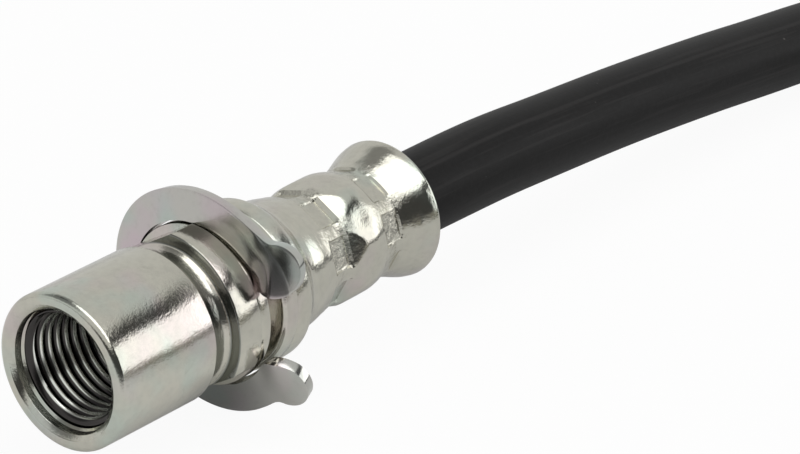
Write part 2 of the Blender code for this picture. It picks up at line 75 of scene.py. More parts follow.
# %% [markdown]
# ## The camera
# The picture is a close one taken with a long lens, so the perspective is mild. The camera looks
# down at the port from the front left. Its place is worked out from where the middle of the port's
# lip appears in the picture and from how far away it is.

# %% Place the camera
CAMERA_AZIMUTH = radians(-49.864)
CAMERA_ELEVATION = radians(25.752)
CAMERA_LENS = 202.5
LIP_FROM_MOUTH = 0.4 * MM
LIP_RIGHT = -39.32 * MM
LIP_UP = -16.96 * MM
LIP_AHEAD = 524.3 * MM

camera_data = bpy.data.cameras.new("close_camera")
camera_data.lens = CAMERA_LENS
camera_data.sensor_width = 36.0
camera_data.clip_start = 0.02
camera = bpy.data.objects.new("close_camera", camera_data)
bpy.context.scene.collection.objects.link(camera)
camera.rotation_euler = (pi / 2 - CAMERA_ELEVATION, 0.0, CAMERA_AZIMUTH)
turn = camera.rotation_euler.to_matrix()
lip_from_camera = turn @ Vector((LIP_RIGHT, LIP_UP, -LIP_AHEAD))
camera.location = FITTING_PLACE + Vector((LIP_FROM_MOUTH, 0, 0)) - lip_from_camera
bpy.context.scene.camera = camera
bpy.context.scene.view_settings.view_transform = "Standard"
print("camera stands at", [round(c, 4) for c in camera.location])

# %% [markdown]
# ## Smooth lines from a few points
# A hose's route, a clip's edge and a shell's outline all start as a few chosen points. One helper
# draws a smooth curve through them, and another reads that curve at even steps.

# %% Draw smooth lines
def smooth_through(points, steps):
    knots = [Vector(point) for point in points]
    knots = [2 * knots[0] - knots[1], *knots, 2 * knots[-1] - knots[-2]]
    curve = []
    for before, start, end, after in zip(knots, knots[1:], knots[2:], knots[3:]):
        for step in range(steps):
            t = step / steps
            curve.append(
                start * (2 * t**3 - 3 * t**2 + 1)
                + (end - before) / 2 * (t**3 - 2 * t**2 + t)
                + end * (3 * t**2 - 2 * t**3)
                + (after - start) / 2 * (t**3 - t**2)
            )
    curve.append(knots[-2])
    return curve


def length_of(points):
    return sum((end - start).length for start, end in zip(points, points[1:]))


# %% [markdown]
# ## The hose
# The hose leaves the crimped socket straight, sags a little under its own weight and comes to lie
# on the table. The rest of its length turns back out of the picture and ends in a banjo fitting.
# Its route is a list of chosen points, and the tube is a ring of vertices extruded along it.

# %% Choose the hose's route
HOSE_RADIUS = 5.4 * MM
THROAT_FROM_RIM = 5.7 * MM
CLEARANCE = 0.3 * MM
HOSE_START = Vector((RIM_X - THROAT_FROM_RIM + CLEARANCE, AXIS_Y, AXIS_Z))
HOSE_END = BANJO_PLACE + Vector((BANJO_LENGTH - THROAT_FROM_RIM + CLEARANCE, 0.0, 0.0))
HOSE_ROUTE = (
    (0.0300, 0.0001, 0.0147),
    (0.0480, 0.0001, 0.0144),
    (0.0620, 0.0001, 0.01345),
    (0.0782, 0.0001, 0.0122),
    (0.0958, 0.0001, 0.0104),
    (0.1080, 0.0001, 0.0089),
    (0.1240, -0.0004, 0.0072),
    (0.1416, -0.0038, 0.0060),
    (0.1576, -0.0124, 0.0056),
    (0.1694, -0.0265, 0.0055),
    (0.1757, -0.0438, 0.0055),
    (0.1757, -0.0622, 0.0055),
    (0.1694, -0.0795, 0.0055),
    (0.1576, -0.0936, 0.0056),
    (0.1416, -0.1022, 0.0060),
    (0.1240, -0.1056, 0.0068),
    (0.1070, -0.1060, 0.0078),
    (0.0930, -0.1060, 0.0088),
    (0.0840, -0.1060, 0.0090),
)
hose_path = smooth_through((HOSE_START, *HOSE_ROUTE, HOSE_END), 10)
print("hose length:", round(length_of(hose_path), 4))

# %% [markdown]
# Each mesh is finished the same way: it is moved to its place, doubles are merged, the faces are
# turned outwards, and the shading is smooth except across real edges. Every piece rides on the one
# body of this object.

# %% Finish a mesh
SHARP_FROM = 32


def finished(name, bm, place=(0, 0, 0), sharp_from=SHARP_FROM, replaces=()):
    bmesh.ops.translate(bm, verts=bm.verts, vec=place)
    bmesh.ops.remove_doubles(bm, verts=bm.verts, dist=1e-7)
    bmesh.ops.recalc_face_normals(bm, faces=bm.faces)
    mesh = bpy.data.meshes.new(name)
    bm.to_mesh(mesh)
    bm.free()
    mesh.shade_smooth()
    mesh.set_sharp_from_angle(angle=radians(sharp_from))
    obj = bpy.data.objects.new(name, mesh)
    bpy.context.scene.collection.objects.link(obj)
    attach(obj, "root")
    if replaces:
        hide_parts(*replaces)
    print(name, "has", len(mesh.polygons), "faces")
    return obj


# %% Extrude the hose along its route
HOSE_SIDES = 64
HOSE_BULGE = 0.16 * MM
HOSE_BULGE_REACH = 16 * MM
HOSE_BULGE_AT = 0.9


def hose_radius(along):
    """The hose swells a little where it has just left the crimped socket."""
    from_rim = (along - THROAT_FROM_RIM) / HOSE_BULGE_REACH
    return HOSE_RADIUS + HOSE_BULGE * exp(-((from_rim - HOSE_BULGE_AT) ** 2))


def make_hose(path):
    bm = bmesh.new()
    straight = bm.verts.layers.float_vector.new("straight")
    ring = bmesh.ops.create_circle(bm, segments=HOSE_SIDES, radius=1.0)["verts"]
    heading = Vector((0.0, 0.0, 1.0))
    rotation = Matrix.Identity(3)
    around = [vert.co.copy() for vert in ring]
    along = 0.0
    first = ring
    for index, point in enumerate(path):
        before = path[max(index - 1, 0)]
        after = path[min(index + 1, len(path) - 1)]
        along += (point - before).length
        wanted = (after - before).normalized()
        rotation = heading.rotation_difference(wanted).to_matrix() @ rotation
        heading = wanted
        if index:
            edges = ring_edges(ring)
            made = bmesh.ops.extrude_edge_only(bm, edges=edges)["geom"]
            ring = next_ring(ring, made)
        radius = hose_radius(along)
        for vert, place in zip(ring, around):
            vert.co = point + rotation @ (place * radius)
            vert[straight] = (along, place.x * radius, place.y * radius)
    for loop in (first, ring):
        bmesh.ops.contextual_create(bm, geom=ring_edges(loop))
    return bm


def ring_edges(ring):
    inside = set(ring)
    return list(
        {edge for vert in ring for edge in vert.link_edges if edge.other_vert(vert) in inside}
    )


def next_ring(ring, made):
    """The new ring's vertices, in the order of the ring that they were extruded from."""
    new = {item for item in made if isinstance(item, bmesh.types.BMVert)}
    return [next(e.other_vert(v) for e in v.link_edges if e.other_vert(v) in new) for v in ring]


hose = finished("rubber_hose", make_hose(hose_path), replaces=("hose",))

# %% [markdown]
# ## Turned pieces
# A turned piece is a closed outline spun about its axis. Outlines are lists of station and radius,
# and short arcs round off the edges that a lathe tool or the plating leaves soft.

# %% Spin an outline
def arc(station, radius_at, radius, start, end, steps):
    made = []
    for step in range(steps + 1):
        angle = radians(start + (end - start) * step / steps)
        made.append((station + radius * cos(angle), radius_at + radius * sin(angle)))
    return made


def spun(outline, steps):
    bm = bmesh.new()
    verts = [bm.verts.new((station, 0.0, radius)) for station, radius in outline]
    edges = [bm.edges.new((verts[k - 1], verts[k])) for k in range(len(verts))]
    bmesh.ops.spin(
        bm,
        geom=verts + edges,
        cent=(0, 0, 0),
        axis=(1, 0, 0),
        angle=2 * pi,
        steps=steps,
        use_merge=True,
        use_duplicate=False,
    )
    bmesh.ops.remove_doubles(bm, verts=bm.verts, dist=1e-6)
    return bm


def spaced_outline(points, spacing):
    """The same line with extra points wherever two of them lie further apart than the spacing."""
    made = [points[0]]
    for start, end in zip(points, points[1:]):
        count = max(1, int(hypot(end[0] - start[0], end[1] - start[1]) / spacing))
        for k in range(1, count + 1):
            share = k / count
            made.append(
                (start[0] + (end[0] - start[0]) * share, start[1] + (end[1] - start[1]) * share)
            )
    return made


# %% [markdown]
# ## The crimped shell
# A crimping press closes eight jaws round the socket, twice. Each jaw leaves a flat-floored mark,
# and between two marks only a narrow ridge stays. A mark ends in a low step towards the hose, and
# from there the metal climbs as a gentle ramp. What the jaws push away bulges between the rows in
# soft pillows. The outline dips at both rows, and the marks are pressed into the spun mesh.

# %% Outline of the shell
SHELL_LENGTH = 22.9 * MM
SHELL_START_RADIUS = 8.76 * MM
SHELL_RADIUS = 8.13 * MM
DIP_RADIUS = 7.55 * MM
WAIST_RADIUS = 7.2 * MM
RIM_RADIUS = 9.0 * MM
RIM_WALL = 1.4 * MM
WAIST_FROM_RIM = 6.2 * MM
SOCKET_DEPTH = 25.2 * MM
SOCKET_RADIUS = HOSE_RADIUS + CLEARANCE
ROW_FROM_RIM = (16.55 * MM, 7.2 * MM)
JAW_LENGTH = 3.0 * MM
OUTLINE_SPACING = 0.12 * MM
RIM_ROUNDING = 0.3 * MM
LIP_ROUNDING = 0.25 * MM


def shell_outline(shell_at):
    rim_at = shell_at + SHELL_LENGTH
    rows = [rim_at - distance for distance in ROW_FROM_RIM]
    waist_at = rim_at - WAIST_FROM_RIM
    lead = rows[0] - shell_at
    drop = SHELL_START_RADIUS - DIP_RADIUS
    rise = SHELL_RADIUS - DIP_RADIUS
    fall = SHELL_RADIUS - WAIST_RADIUS
    flare = RIM_RADIUS - WAIST_RADIUS
    knots = (
        (shell_at, SHELL_START_RADIUS),
        (shell_at + 0.28 * lead, SHELL_START_RADIUS - 0.22 * drop),
        (shell_at + 0.52 * lead, SHELL_START_RADIUS - 0.5 * drop),
        (shell_at + 0.77 * lead, SHELL_START_RADIUS - 0.75 * drop),
        (rows[0], DIP_RADIUS),
        (rows[0] + 0.4 * JAW_LENGTH, DIP_RADIUS + 0.45 * rise),
        (rows[0] + 0.85 * JAW_LENGTH, DIP_RADIUS + 0.9 * rise),
        (0.5 * (rows[0] + rows[1]), SHELL_RADIUS),
        (rows[1] - 1.1 * JAW_LENGTH, SHELL_RADIUS - 0.05 * fall),
        (rows[1] - 0.6 * JAW_LENGTH, SHELL_RADIUS - 0.32 * fall),
        (rows[1] - 0.15 * JAW_LENGTH, SHELL_RADIUS - 0.66 * fall),
        (waist_at, WAIST_RADIUS),
        (waist_at + 0.19 * WAIST_FROM_RIM, WAIST_RADIUS + 0.12 * flare),
        (waist_at + 0.37 * WAIST_FROM_RIM, WAIST_RADIUS + 0.35 * flare),
        (waist_at + 0.58 * WAIST_FROM_RIM, WAIST_RADIUS + 0.61 * flare),
        (waist_at + 0.79 * WAIST_FROM_RIM, WAIST_RADIUS + 0.88 * flare),
        (rim_at - RIM_ROUNDING, RIM_RADIUS),
    )
    line = [tuple(point) for point in smooth_through(knots, 6)]
    return spaced_outline(line, OUTLINE_SPACING)


def socket_outline(rim_at):
    throat_at = rim_at - THROAT_FROM_RIM
    lip = RIM_RADIUS - RIM_WALL
    flare = lip - SOCKET_RADIUS
    floor_at = rim_at - SOCKET_DEPTH
    edge = arc(rim_at - RIM_ROUNDING, RIM_RADIUS - RIM_ROUNDING, RIM_ROUNDING, 80, 0, 4)
    edge += arc(rim_at - LIP_ROUNDING, lip + LIP_ROUNDING, LIP_ROUNDING, 0, -90, 3)
    curve = smooth_through(
        (
            (rim_at - LIP_ROUNDING, lip),
            (throat_at + 0.7 * THROAT_FROM_RIM, SOCKET_RADIUS + 0.8 * flare),
            (throat_at + 0.4 * THROAT_FROM_RIM, SOCKET_RADIUS + 0.4 * flare),
            (throat_at + 0.15 * THROAT_FROM_RIM, SOCKET_RADIUS + 0.08 * flare),
            (throat_at, SOCKET_RADIUS),
        ),
        4,
    )
    edge += [tuple(point) for point in curve[1:]]
    edge += [(floor_at + CLEARANCE, SOCKET_RADIUS), (floor_at, SOCKET_RADIUS - CLEARANCE)]
    return edge


# %% Press the jaw marks
JAW_COUNT = 8
JAW_ANGLE = 28.75
MARK_FROM_RIM = (16.85 * MM, 6.95 * MM)
MARK_LENGTH = 2.8 * MM
MARK_WIDTH = 4.4 * MM
ROW_FLOOR = (7.16 * MM, 7.02 * MM)
FLOOR_TILT = 0.08
FRONT_WALL_SLOPE = 1.1
REAR_WALL_SLOPE = 2.6
REAR_STEP = 0.42 * MM
RAMP_SLOPE = 0.31
SIDE_WALL_SLOPE = 2.6
RAMP_SIDE_SLOPE = 0.7
SIDE_BLEND = 0.7 * MM
MARK_REACH = 3.4 * MM
EDGE_SOFTNESS = 0.11 * MM
PILLOW_HEIGHT = 0.16 * MM
PILLOW_REACH = 2.2 * MM
PRESSED_FROM_RIM = (20.5 * MM, 2.4 * MM)
PRESSED_OUTSIDE = 6.9 * MM


def soft_low(first, second, softness):
    """The lower of two numbers, with a rounded corner where they meet."""
    apart = max(softness - abs(first - second), 0.0) / softness
    return min(first, second) - apart * apart * softness / 4


def off_jaw(angle):
    """The angle from the middle of the nearest jaw."""
    pitch = 2 * pi / JAW_COUNT
    return (angle - radians(JAW_ANGLE) + pitch / 2) % pitch - pitch / 2


def pressed_radius(station, angle, radius, rim_at):
    """Where the press leaves a point of the shell, from its station, angle and first radius."""
    off = off_jaw(angle)
    between = station - rim_at + 0.5 * (ROW_FROM_RIM[0] + ROW_FROM_RIM[1])
    pillow = PILLOW_HEIGHT * cos(JAW_COUNT * off) * exp(-((between / PILLOW_REACH) ** 2))
    wanted = radius + pillow
    past_side = abs(off) * SHELL_RADIUS - MARK_WIDTH / 2
    for floor_radius, from_rim in zip(ROW_FLOOR, MARK_FROM_RIM):
        along = station - (rim_at - from_rim)
        past_end = abs(along) - MARK_LENGTH / 2
        if past_end > MARK_REACH:
            continue
        side_slope = SIDE_WALL_SLOPE
        end_wall = past_end * FRONT_WALL_SLOPE
        if along > 0:
            end_wall = min(past_end * REAR_WALL_SLOPE, REAR_STEP + past_end * RAMP_SLOPE)
            behind = min(1.0, max(0.0, past_end / SIDE_BLEND))
            side_slope += (RAMP_SIDE_SLOPE - SIDE_WALL_SLOPE) * behind
        wall = max(end_wall, past_side * side_slope, 0.0)
        floor = (floor_radius - FLOOR_TILT * min(along, MARK_LENGTH / 2) + wall) / cos(off)
        wanted = soft_low(wanted, floor, EDGE_SOFTNESS)
    return wanted


RIDGE_FROM = radians(11)
RIDGE_BLEND = radians(5)
SCUFF_REACH = 1.5 * MM
FLOOR_SCUFF = 0.45


def worked_share(station, angle, rim_at):
    """How scuffed the press left the surface: most on the ridges, less on the marks' floors."""
    ridge = min(1.0, max(0.0, (abs(off_jaw(angle)) - RIDGE_FROM) / RIDGE_BLEND))
    share = 0.0
    for from_rim in MARK_FROM_RIM:
        past_end = abs(station - (rim_at - from_rim)) - MARK_LENGTH / 2
        near = exp(-((max(0.0, past_end) / SCUFF_REACH) ** 2))
        floor = FLOOR_SCUFF if past_end < 0 else 0.0
        share = max(share, ridge * near, floor)
    return share


def press_jaws(bm, rim_at):
    worked = bm.verts.layers.float.new("worked")
    first, last = (rim_at - distance for distance in PRESSED_FROM_RIM)
    for vert in bm.verts:
        station = vert.co.x
        radius = hypot(vert.co.y, vert.co.z)
        if radius < PRESSED_OUTSIDE or not first < station < last:
            continue
        angle = atan2(vert.co.z, vert.co.y)
        wanted = pressed_radius(station, angle, radius, rim_at)
        vert[worked] = worked_share(station, angle, rim_at)
        vert.co.y *= wanted / radius
        vert.co.z *= wanted / radius


# %% [markdown]
# ## The female end fitting
# One turned steel piece: a barrel with the threaded port, a neck, a collar with two key flats, a
# polished ring, a groove, a shoulder and the crimped shell. Inside the port's lip, a short cone and
# two shallow steps lead down to the bore of the thread. The outline is spun, the jaws are pressed,
# and the flats are planed off the collar.

# %% Outline of the fitting
BARREL_RADIUS = 10.0 * MM
BARREL_LENGTH = 16.3 * MM
NECK_RADIUS = 8.9 * MM
COLLAR_AT = 19.35 * MM
COLLAR_RADIUS = 10.85 * MM
RING_AT = 23.25 * MM
RING_RADIUS = 10.36 * MM
GROOVE_AT = 25.4 * MM
GROOVE_RADIUS = 8.6 * MM
SHOULDER_AT = 27.8 * MM
SHOULDER_RADIUS = 10.45 * MM
CONE_AT = 32.4 * MM
SHELL_AT = FITTING_LENGTH - SHELL_LENGTH
PORT_DEPTH = 15.0 * MM
BORE_RADIUS = 7.2 * MM
COUNTERBORE_RADIUS = 7.5 * MM
PORT_MOUTH = (
    (1.75 * MM, COUNTERBORE_RADIUS + 0.02 * MM),
    (1.45 * MM, 7.78 * MM),
    (0.5 * MM, 7.84 * MM),
    (0.4 * MM, 7.9 * MM),
    (0.1 * MM, 8.42 * MM),
    (0.0, 8.55 * MM),
)
INSERT_HOLE = 2.4 * MM


def front_edge(at, radius, rounding, steps, start=180):
    return arc(at + rounding, radius - rounding, rounding, start, 90, steps)


def rear_edge(at, radius, rounding, steps, end=0):
    return arc(at - rounding, radius - rounding, rounding, 90, end, steps)


def fitting_outline():
    line = front_edge(0.0, BARREL_RADIUS, 0.75 * MM, 8)
    line += [(4 * MM, BARREL_RADIUS), (10 * MM, BARREL_RADIUS)]
    line += rear_edge(BARREL_LENGTH, BARREL_RADIUS, 0.3 * MM, 4, end=15)
    neck = smooth_through(
        (
            (BARREL_LENGTH + 0.05 * MM, BARREL_RADIUS - 0.45 * MM),
            (BARREL_LENGTH + 0.5 * MM, NECK_RADIUS + 0.22 * MM),
            (BARREL_LENGTH + 1.2 * MM, NECK_RADIUS),
            (COLLAR_AT - 0.8 * MM, NECK_RADIUS + 0.03 * MM),
            (COLLAR_AT - 0.15 * MM, NECK_RADIUS + 0.3 * MM),
        ),
        4,
    )
    line += [tuple(point) for point in neck]
    line += [(COLLAR_AT - 0.08 * MM, NECK_RADIUS + 0.45 * MM), (COLLAR_AT, NECK_RADIUS + 0.55 * MM)]
    line += front_edge(COLLAR_AT, COLLAR_RADIUS, 0.17 * MM, 3)
    line += [(COLLAR_AT + 2 * MM, COLLAR_RADIUS)]
    line += rear_edge(RING_AT, COLLAR_RADIUS, 0.15 * MM, 3)
    line += [
        (RING_AT, RING_RADIUS - 0.22 * MM),
        (RING_AT + 0.15 * MM, RING_RADIUS - 0.22 * MM),
        (RING_AT + 0.2 * MM, RING_RADIUS - 0.05 * MM),
        (RING_AT + 0.3 * MM, RING_RADIUS),
    ]
    line += rear_edge(GROOVE_AT, RING_RADIUS, 0.2 * MM, 3)
    line += [(GROOVE_AT, GROOVE_RADIUS), (SHOULDER_AT, GROOVE_RADIUS)]
    line += [(SHOULDER_AT, SHOULDER_RADIUS - 0.7 * MM)]
    line += front_edge(SHOULDER_AT, SHOULDER_RADIUS, 0.62 * MM, 4, start=160)
    line += [
        (SHOULDER_AT + 2.3 * MM, SHOULDER_RADIUS),
        (SHOULDER_AT + 2.38 * MM, SHOULDER_RADIUS - 0.04 * MM),
        (SHOULDER_AT + 2.5 * MM, SHOULDER_RADIUS),
    ]
    drop = SHOULDER_RADIUS - SHELL_START_RADIUS
    cone = SHELL_AT - CONE_AT
    fillet = smooth_through(
        (
            (CONE_AT - 0.8 * MM, SHOULDER_RADIUS),
            (CONE_AT + 0.02 * cone, SHOULDER_RADIUS - 0.03 * drop),
            (CONE_AT + 0.15 * cone, SHOULDER_RADIUS - 0.13 * drop),
            (CONE_AT + 0.38 * cone, SHOULDER_RADIUS - 0.48 * drop),
            (CONE_AT + 0.65 * cone, SHOULDER_RADIUS - 0.82 * drop),
            (SHELL_AT, SHELL_START_RADIUS),
        ),
        5,
    )
    line += [tuple(point) for point in fillet[:-1]]
    line += shell_outline(SHELL_AT)
    line += socket_outline(FITTING_LENGTH)[1:]
    line += [
        (FITTING_LENGTH - SOCKET_DEPTH, INSERT_HOLE),
        (PORT_DEPTH, INSERT_HOLE),
        (PORT_DEPTH, BORE_RADIUS - 0.6 * MM),
        (PORT_DEPTH - 0.6 * MM, BORE_RADIUS),
        (3.0 * MM, BORE_RADIUS),
        (2.7 * MM, COUNTERBORE_RADIUS),
        *PORT_MOUTH,
    ]
    return line


# %% Spin, press and plane the fitting
BODY_STEPS = 288
FLAT_DISTANCE = 9.3 * MM
FLAT_ANGLE = 58.5
NECK_FILLET = 0.36 * MM


def plane_flats(bm):
    """Cut the flats' outlines into the collar, then press what stands over each flat down to it."""
    for turned in (0, 180):
        angle = radians(FLAT_ANGLE + turned)
        normal = Vector((0.0, cos(angle), sin(angle)))
        collar = [face for face in bm.faces if on_collar(face.calc_center_median())]
        edges = list({edge for face in collar for edge in face.edges})
        verts = list({vert for face in collar for vert in face.verts})
        bmesh.ops.bisect_plane(
            bm, geom=verts + edges + collar, plane_co=normal * FLAT_DISTANCE, plane_no=normal
        )
        for vert in bm.verts:
            over = vert.co.dot(normal) - FLAT_DISTANCE
            if over > 0 and on_collar(vert.co):
                vert.co -= normal * over


def on_collar(place):
    """Whether a place is on the collar's cylinder or on its two flat sides."""
    inside = COLLAR_AT - 0.01 * MM < place.x < RING_AT + 0.01 * MM
    return inside and hypot(place.y, place.z) > NECK_RADIUS + NECK_FILLET


fitting_mesh = spun(fitting_outline(), BODY_STEPS)
press_jaws(fitting_mesh, FITTING_LENGTH)
plane_flats(fitting_mesh)
fitting = finished(
    "female_fitting", fitting_mesh, FITTING_PLACE, replaces=("fitting_body",)
)

# %% [markdown]
# ## The port's thread
# The thread is a helical ridge. A small section of it is spun through many turns while each step
# also moves it along the axis, and the first and last turns fade into the wall.

# %% Cut the thread
THREAD_PITCH = 25.4 / 18 * MM
THREAD_MINOR = 6.42 * MM
THREAD_START = 2.0 * MM
THREAD_TURNS = 9
THREAD_STEPS = 96
ROOT_SHARE = 0.97
CREST_SHARE = 0.1
FADE_IN_TURNS = 0.35
FADE_OUT_TURNS = 0.75
THREAD_SHARP_FROM = 75


def thread_ridge():
    half = THREAD_PITCH / 2
    bm = bmesh.new()
    section = (
        (-half * ROOT_SHARE, BORE_RADIUS + 0.15 * MM),
        (-half * ROOT_SHARE, BORE_RADIUS - 0.02 * MM),
        (-half * CREST_SHARE, THREAD_MINOR + 0.02 * MM),
        (half * CREST_SHARE, THREAD_MINOR + 0.02 * MM),
        (half * ROOT_SHARE, BORE_RADIUS - 0.02 * MM),
        (half * ROOT_SHARE, BORE_RADIUS + 0.15 * MM),
    )
    verts = [bm.verts.new((THREAD_START + x, 0.0, r)) for x, r in section]
    edges = [bm.edges.new((verts[k - 1], verts[k])) for k in range(len(verts))]
    last = bmesh.ops.spin(
        bm,
        geom=verts + edges,
        cent=(0, 0, 0),
        axis=(1, 0, 0),
        dvec=(THREAD_PITCH / THREAD_STEPS, 0, 0),
        angle=-2 * pi * THREAD_TURNS,
        steps=THREAD_TURNS * THREAD_STEPS,
    )["geom_last"]
    bmesh.ops.contextual_create(bm, geom=edges)
    bmesh.ops.contextual_create(bm, geom=[e for e in last if isinstance(e, bmesh.types.BMEdge)])
    for vert in bm.verts:
        radius = hypot(vert.co.y, vert.co.z)
        turns = (vert.co.x - THREAD_START) / THREAD_PITCH
        fade_in = max(0.0, turns / FADE_IN_TURNS)
        fade_out = max(0.0, (THREAD_TURNS - turns) / FADE_OUT_TURNS)
        fade = min(1.0, fade_in, fade_out)
        wanted = BORE_RADIUS + (radius - BORE_RADIUS) * (fade if radius < BORE_RADIUS else 1.0)
        vert.co.y *= wanted / radius
        vert.co.z *= wanted / radius
    return bm


thread = finished(
    "port_thread", thread_ridge(), FITTING_PLACE, THREAD_SHARP_FROM
)

# %% [markdown]
# ## The inserts
# Each hose end is crimped on a steel nipple. In the port the nipple's head shows as a coned tube
# seat with a flange, so both nipples are spun again here with more steps.

# %% Spin the inserts
INSERT_RADIUS = 2.1 * MM
INSERT_BORE = 1.2 * MM
BARB_HEIGHT = 0.35 * MM
BARB_PITCH = 3.2 * MM
INSERT_TIP_FROM_RIM = 8.2 * MM
FLANGE_RADIUS = 6.0 * MM
FLANGE_LENGTH = 0.9 * MM
NOSE_RADIUS = 1.9 * MM
CONE_LENGTH = 2.0 * MM


def barbs(start, end):
    count = int((end - start) / BARB_PITCH)
    line = []
    for barb in range(count):
        at = end - (count - barb) * BARB_PITCH
        line += [(at, INSERT_RADIUS), (at, INSERT_RADIUS + BARB_HEIGHT)]
    return [*line, (end, INSERT_RADIUS)]


def seat_outline():
    flange_end = PORT_DEPTH - CLEARANCE
    flange_at = flange_end - FLANGE_LENGTH
    nose_at = flange_at - CONE_LENGTH
    tip_at = FITTING_LENGTH - INSERT_TIP_FROM_RIM
    line = [(nose_at + 0.2 * MM, INSERT_BORE), (nose_at, INSERT_BORE + 0.2 * MM)]
    line += arc(nose_at + 0.2 * MM, NOSE_RADIUS - 0.1 * MM, 0.2 * MM, 180, 120, 3)
    line += [(flange_at, NOSE_RADIUS + CONE_LENGTH)]
    line += arc(flange_at + 0.2 * MM, FLANGE_RADIUS - 0.2 * MM, 0.2 * MM, 180, 90, 3)
    line += [(flange_end, FLANGE_RADIUS), (flange_end, INSERT_RADIUS)]
    line += barbs(FITTING_LENGTH - SOCKET_DEPTH + 2 * MM, tip_at - 1 * MM)
    line += [(tip_at, INSERT_RADIUS - 0.4 * MM), (tip_at, INSERT_BORE)]
    return line


def banjo_insert_outline():
    floor_at = BANJO_LENGTH - SOCKET_DEPTH + CLEARANCE
    tip_at = BANJO_LENGTH - INSERT_TIP_FROM_RIM
    line = [(floor_at, INSERT_BORE), (floor_at, INSERT_RADIUS)]
    line += barbs(floor_at + 2 * MM, tip_at - 1 * MM)
    line += [(tip_at, INSERT_RADIUS - 0.4 * MM), (tip_at, INSERT_BORE)]
    return line


seat_mesh = spun(seat_outline(), 96)
seat = finished(
    "tube_seat_nipple", seat_mesh, FITTING_PLACE, replaces=("seat_insert",)
)
nipple_mesh = spun(banjo_insert_outline(), 64)
far_nipple = finished(
    "far_nipple", nipple_mesh, BANJO_PLACE, replaces=("banjo_insert",)
)

# %% [markdown]
# ## The retaining clip
# The clip is a horseshoe stamped from spring steel, sprung onto the ring behind the collar. It is
# dished a little, leans back from the collar, and its two ears are bent back and slightly twisted,
# so that a screwdriver can pull it off. Each arm is laid out as a sheet between an outer and an
# inner edge. Then the sheet gets its thickness, and its edges are rounded as a press leaves them.

# %% Lay out the clip
CLIP_RADIUS = 14.55 * MM
CLIP_THICKNESS = 1.5 * MM
CLIP_DISH = 0.8 * MM
CLIP_LEAN = radians(4.0)
EAR_OUT = 11.55 * MM
EAR_SPREAD = 7.6 * MM
EAR_RADIUS = 3.2 * MM
NOTCH_RADIUS = 2.0 * MM
EAR_BEND_START = 5.5 * MM
EAR_BEND_RADIUS = 30.0 * MM
EAR_TWIST = 0.23
EAR_TWIST_START = 8.2 * MM
EAR_TWIST_LINE = 10.0 * MM
EAR_INSIDE_ANGLE = -115
CLIP_EDGE = 0.35 * MM
CLIP_INNER_RADIUS = RING_RADIUS + CLEARANCE
CLIP_SWING = CLIP_INNER_RADIUS * sin(CLIP_LEAN)
CLIP_MIDDLE = RING_AT + CLEARANCE + CLIP_DISH + CLIP_SWING + CLIP_THICKNESS / 2


def round_points(centre, radius, start, end, steps):
    made = []
    for k in range(steps + 1):
        angle = radians(start + (end - start) * k / steps)
        made.append(Vector((centre[0] + radius * cos(angle), centre[1] + radius * sin(angle))))
    return made


def clip_edges(fine):
    """Matching points of one arm's outer and inner edges, from the closed back to the ear's tip."""
    ear = (EAR_OUT, EAR_SPREAD)
    ear_distance = hypot(*ear)
    ear_angle = degrees(atan2(EAR_SPREAD, EAR_OUT))
    far = CLIP_RADIUS + NOTCH_RADIUS
    near = EAR_RADIUS + NOTCH_RADIUS
    spread = (far**2 + ear_distance**2 - near**2) / (2 * far * ear_distance)
    notch_angle = ear_angle + degrees(acos(spread))
    notch = round_points((0, 0), far, notch_angle, notch_angle, 1)[0]
    to_ear = degrees(atan2(ear[1] - notch[1], ear[0] - notch[0]))
    to_centre = degrees(atan2(-notch[1], -notch[0])) % 360 - 360
    outer = round_points((0, 0), CLIP_RADIUS, 180, notch_angle, 18 * fine)
    outer += round_points(notch, NOTCH_RADIUS, to_centre, to_ear, 4 * fine)[1:]
    outer += round_points(ear, EAR_RADIUS, to_ear + 180, 0, 6 * fine)[1:]
    inner = round_points((0, 0), CLIP_INNER_RADIUS, 180, ear_angle, 18 * fine)
    start = inner[-1]
    line_end = round_points(ear, EAR_RADIUS, EAR_INSIDE_ANGLE, EAR_INSIDE_ANGLE, 1)[0]
    inner += [start.lerp(line_end, k / (4 * fine)) for k in range(1, 4 * fine + 1)]
    inner += round_points(ear, EAR_RADIUS, EAR_INSIDE_ANGLE, 0, 6 * fine)[1:]
    return outer, inner


def sheet_height(v, w):
    """How far a place on the sheet lies behind the plane of its rim: dished, with twisted ears."""
    past = max(0.0, v - EAR_BEND_START)
    inward = max(0.0, CLIP_RADIUS - hypot(v, w)) / (CLIP_RADIUS - CLIP_INNER_RADIUS)
    on_ear = min(1.0, max(0.0, (v - EAR_TWIST_START) / (EAR_OUT - EAR_TWIST_START)))
    twist = EAR_TWIST * on_ear**2 * (3 - 2 * on_ear) * (w - EAR_TWIST_LINE)
    return past**2 / (2 * EAR_BEND_RADIUS) - CLIP_DISH * inward + twist


def clip_sheet(fine, across):
    outer, inner = clip_edges(fine)
    bm = bmesh.new()
    for sign in (1, -1):
        rows = []
        for out_point, in_point in zip(outer, inner):
            row = []
            for k in range(across + 1):
                v, w = out_point.lerp(in_point, k / across)
                row.append(bm.verts.new((sheet_height(v, w), -v, sign * w)))
            rows.append(row)
        for row, after in zip(rows, rows[1:]):
            for k in range(across):
                bm.faces.new((row[k], row[k + 1], after[k + 1], after[k]))
    bmesh.ops.remove_doubles(bm, verts=bm.verts, dist=1e-5)
    return bm


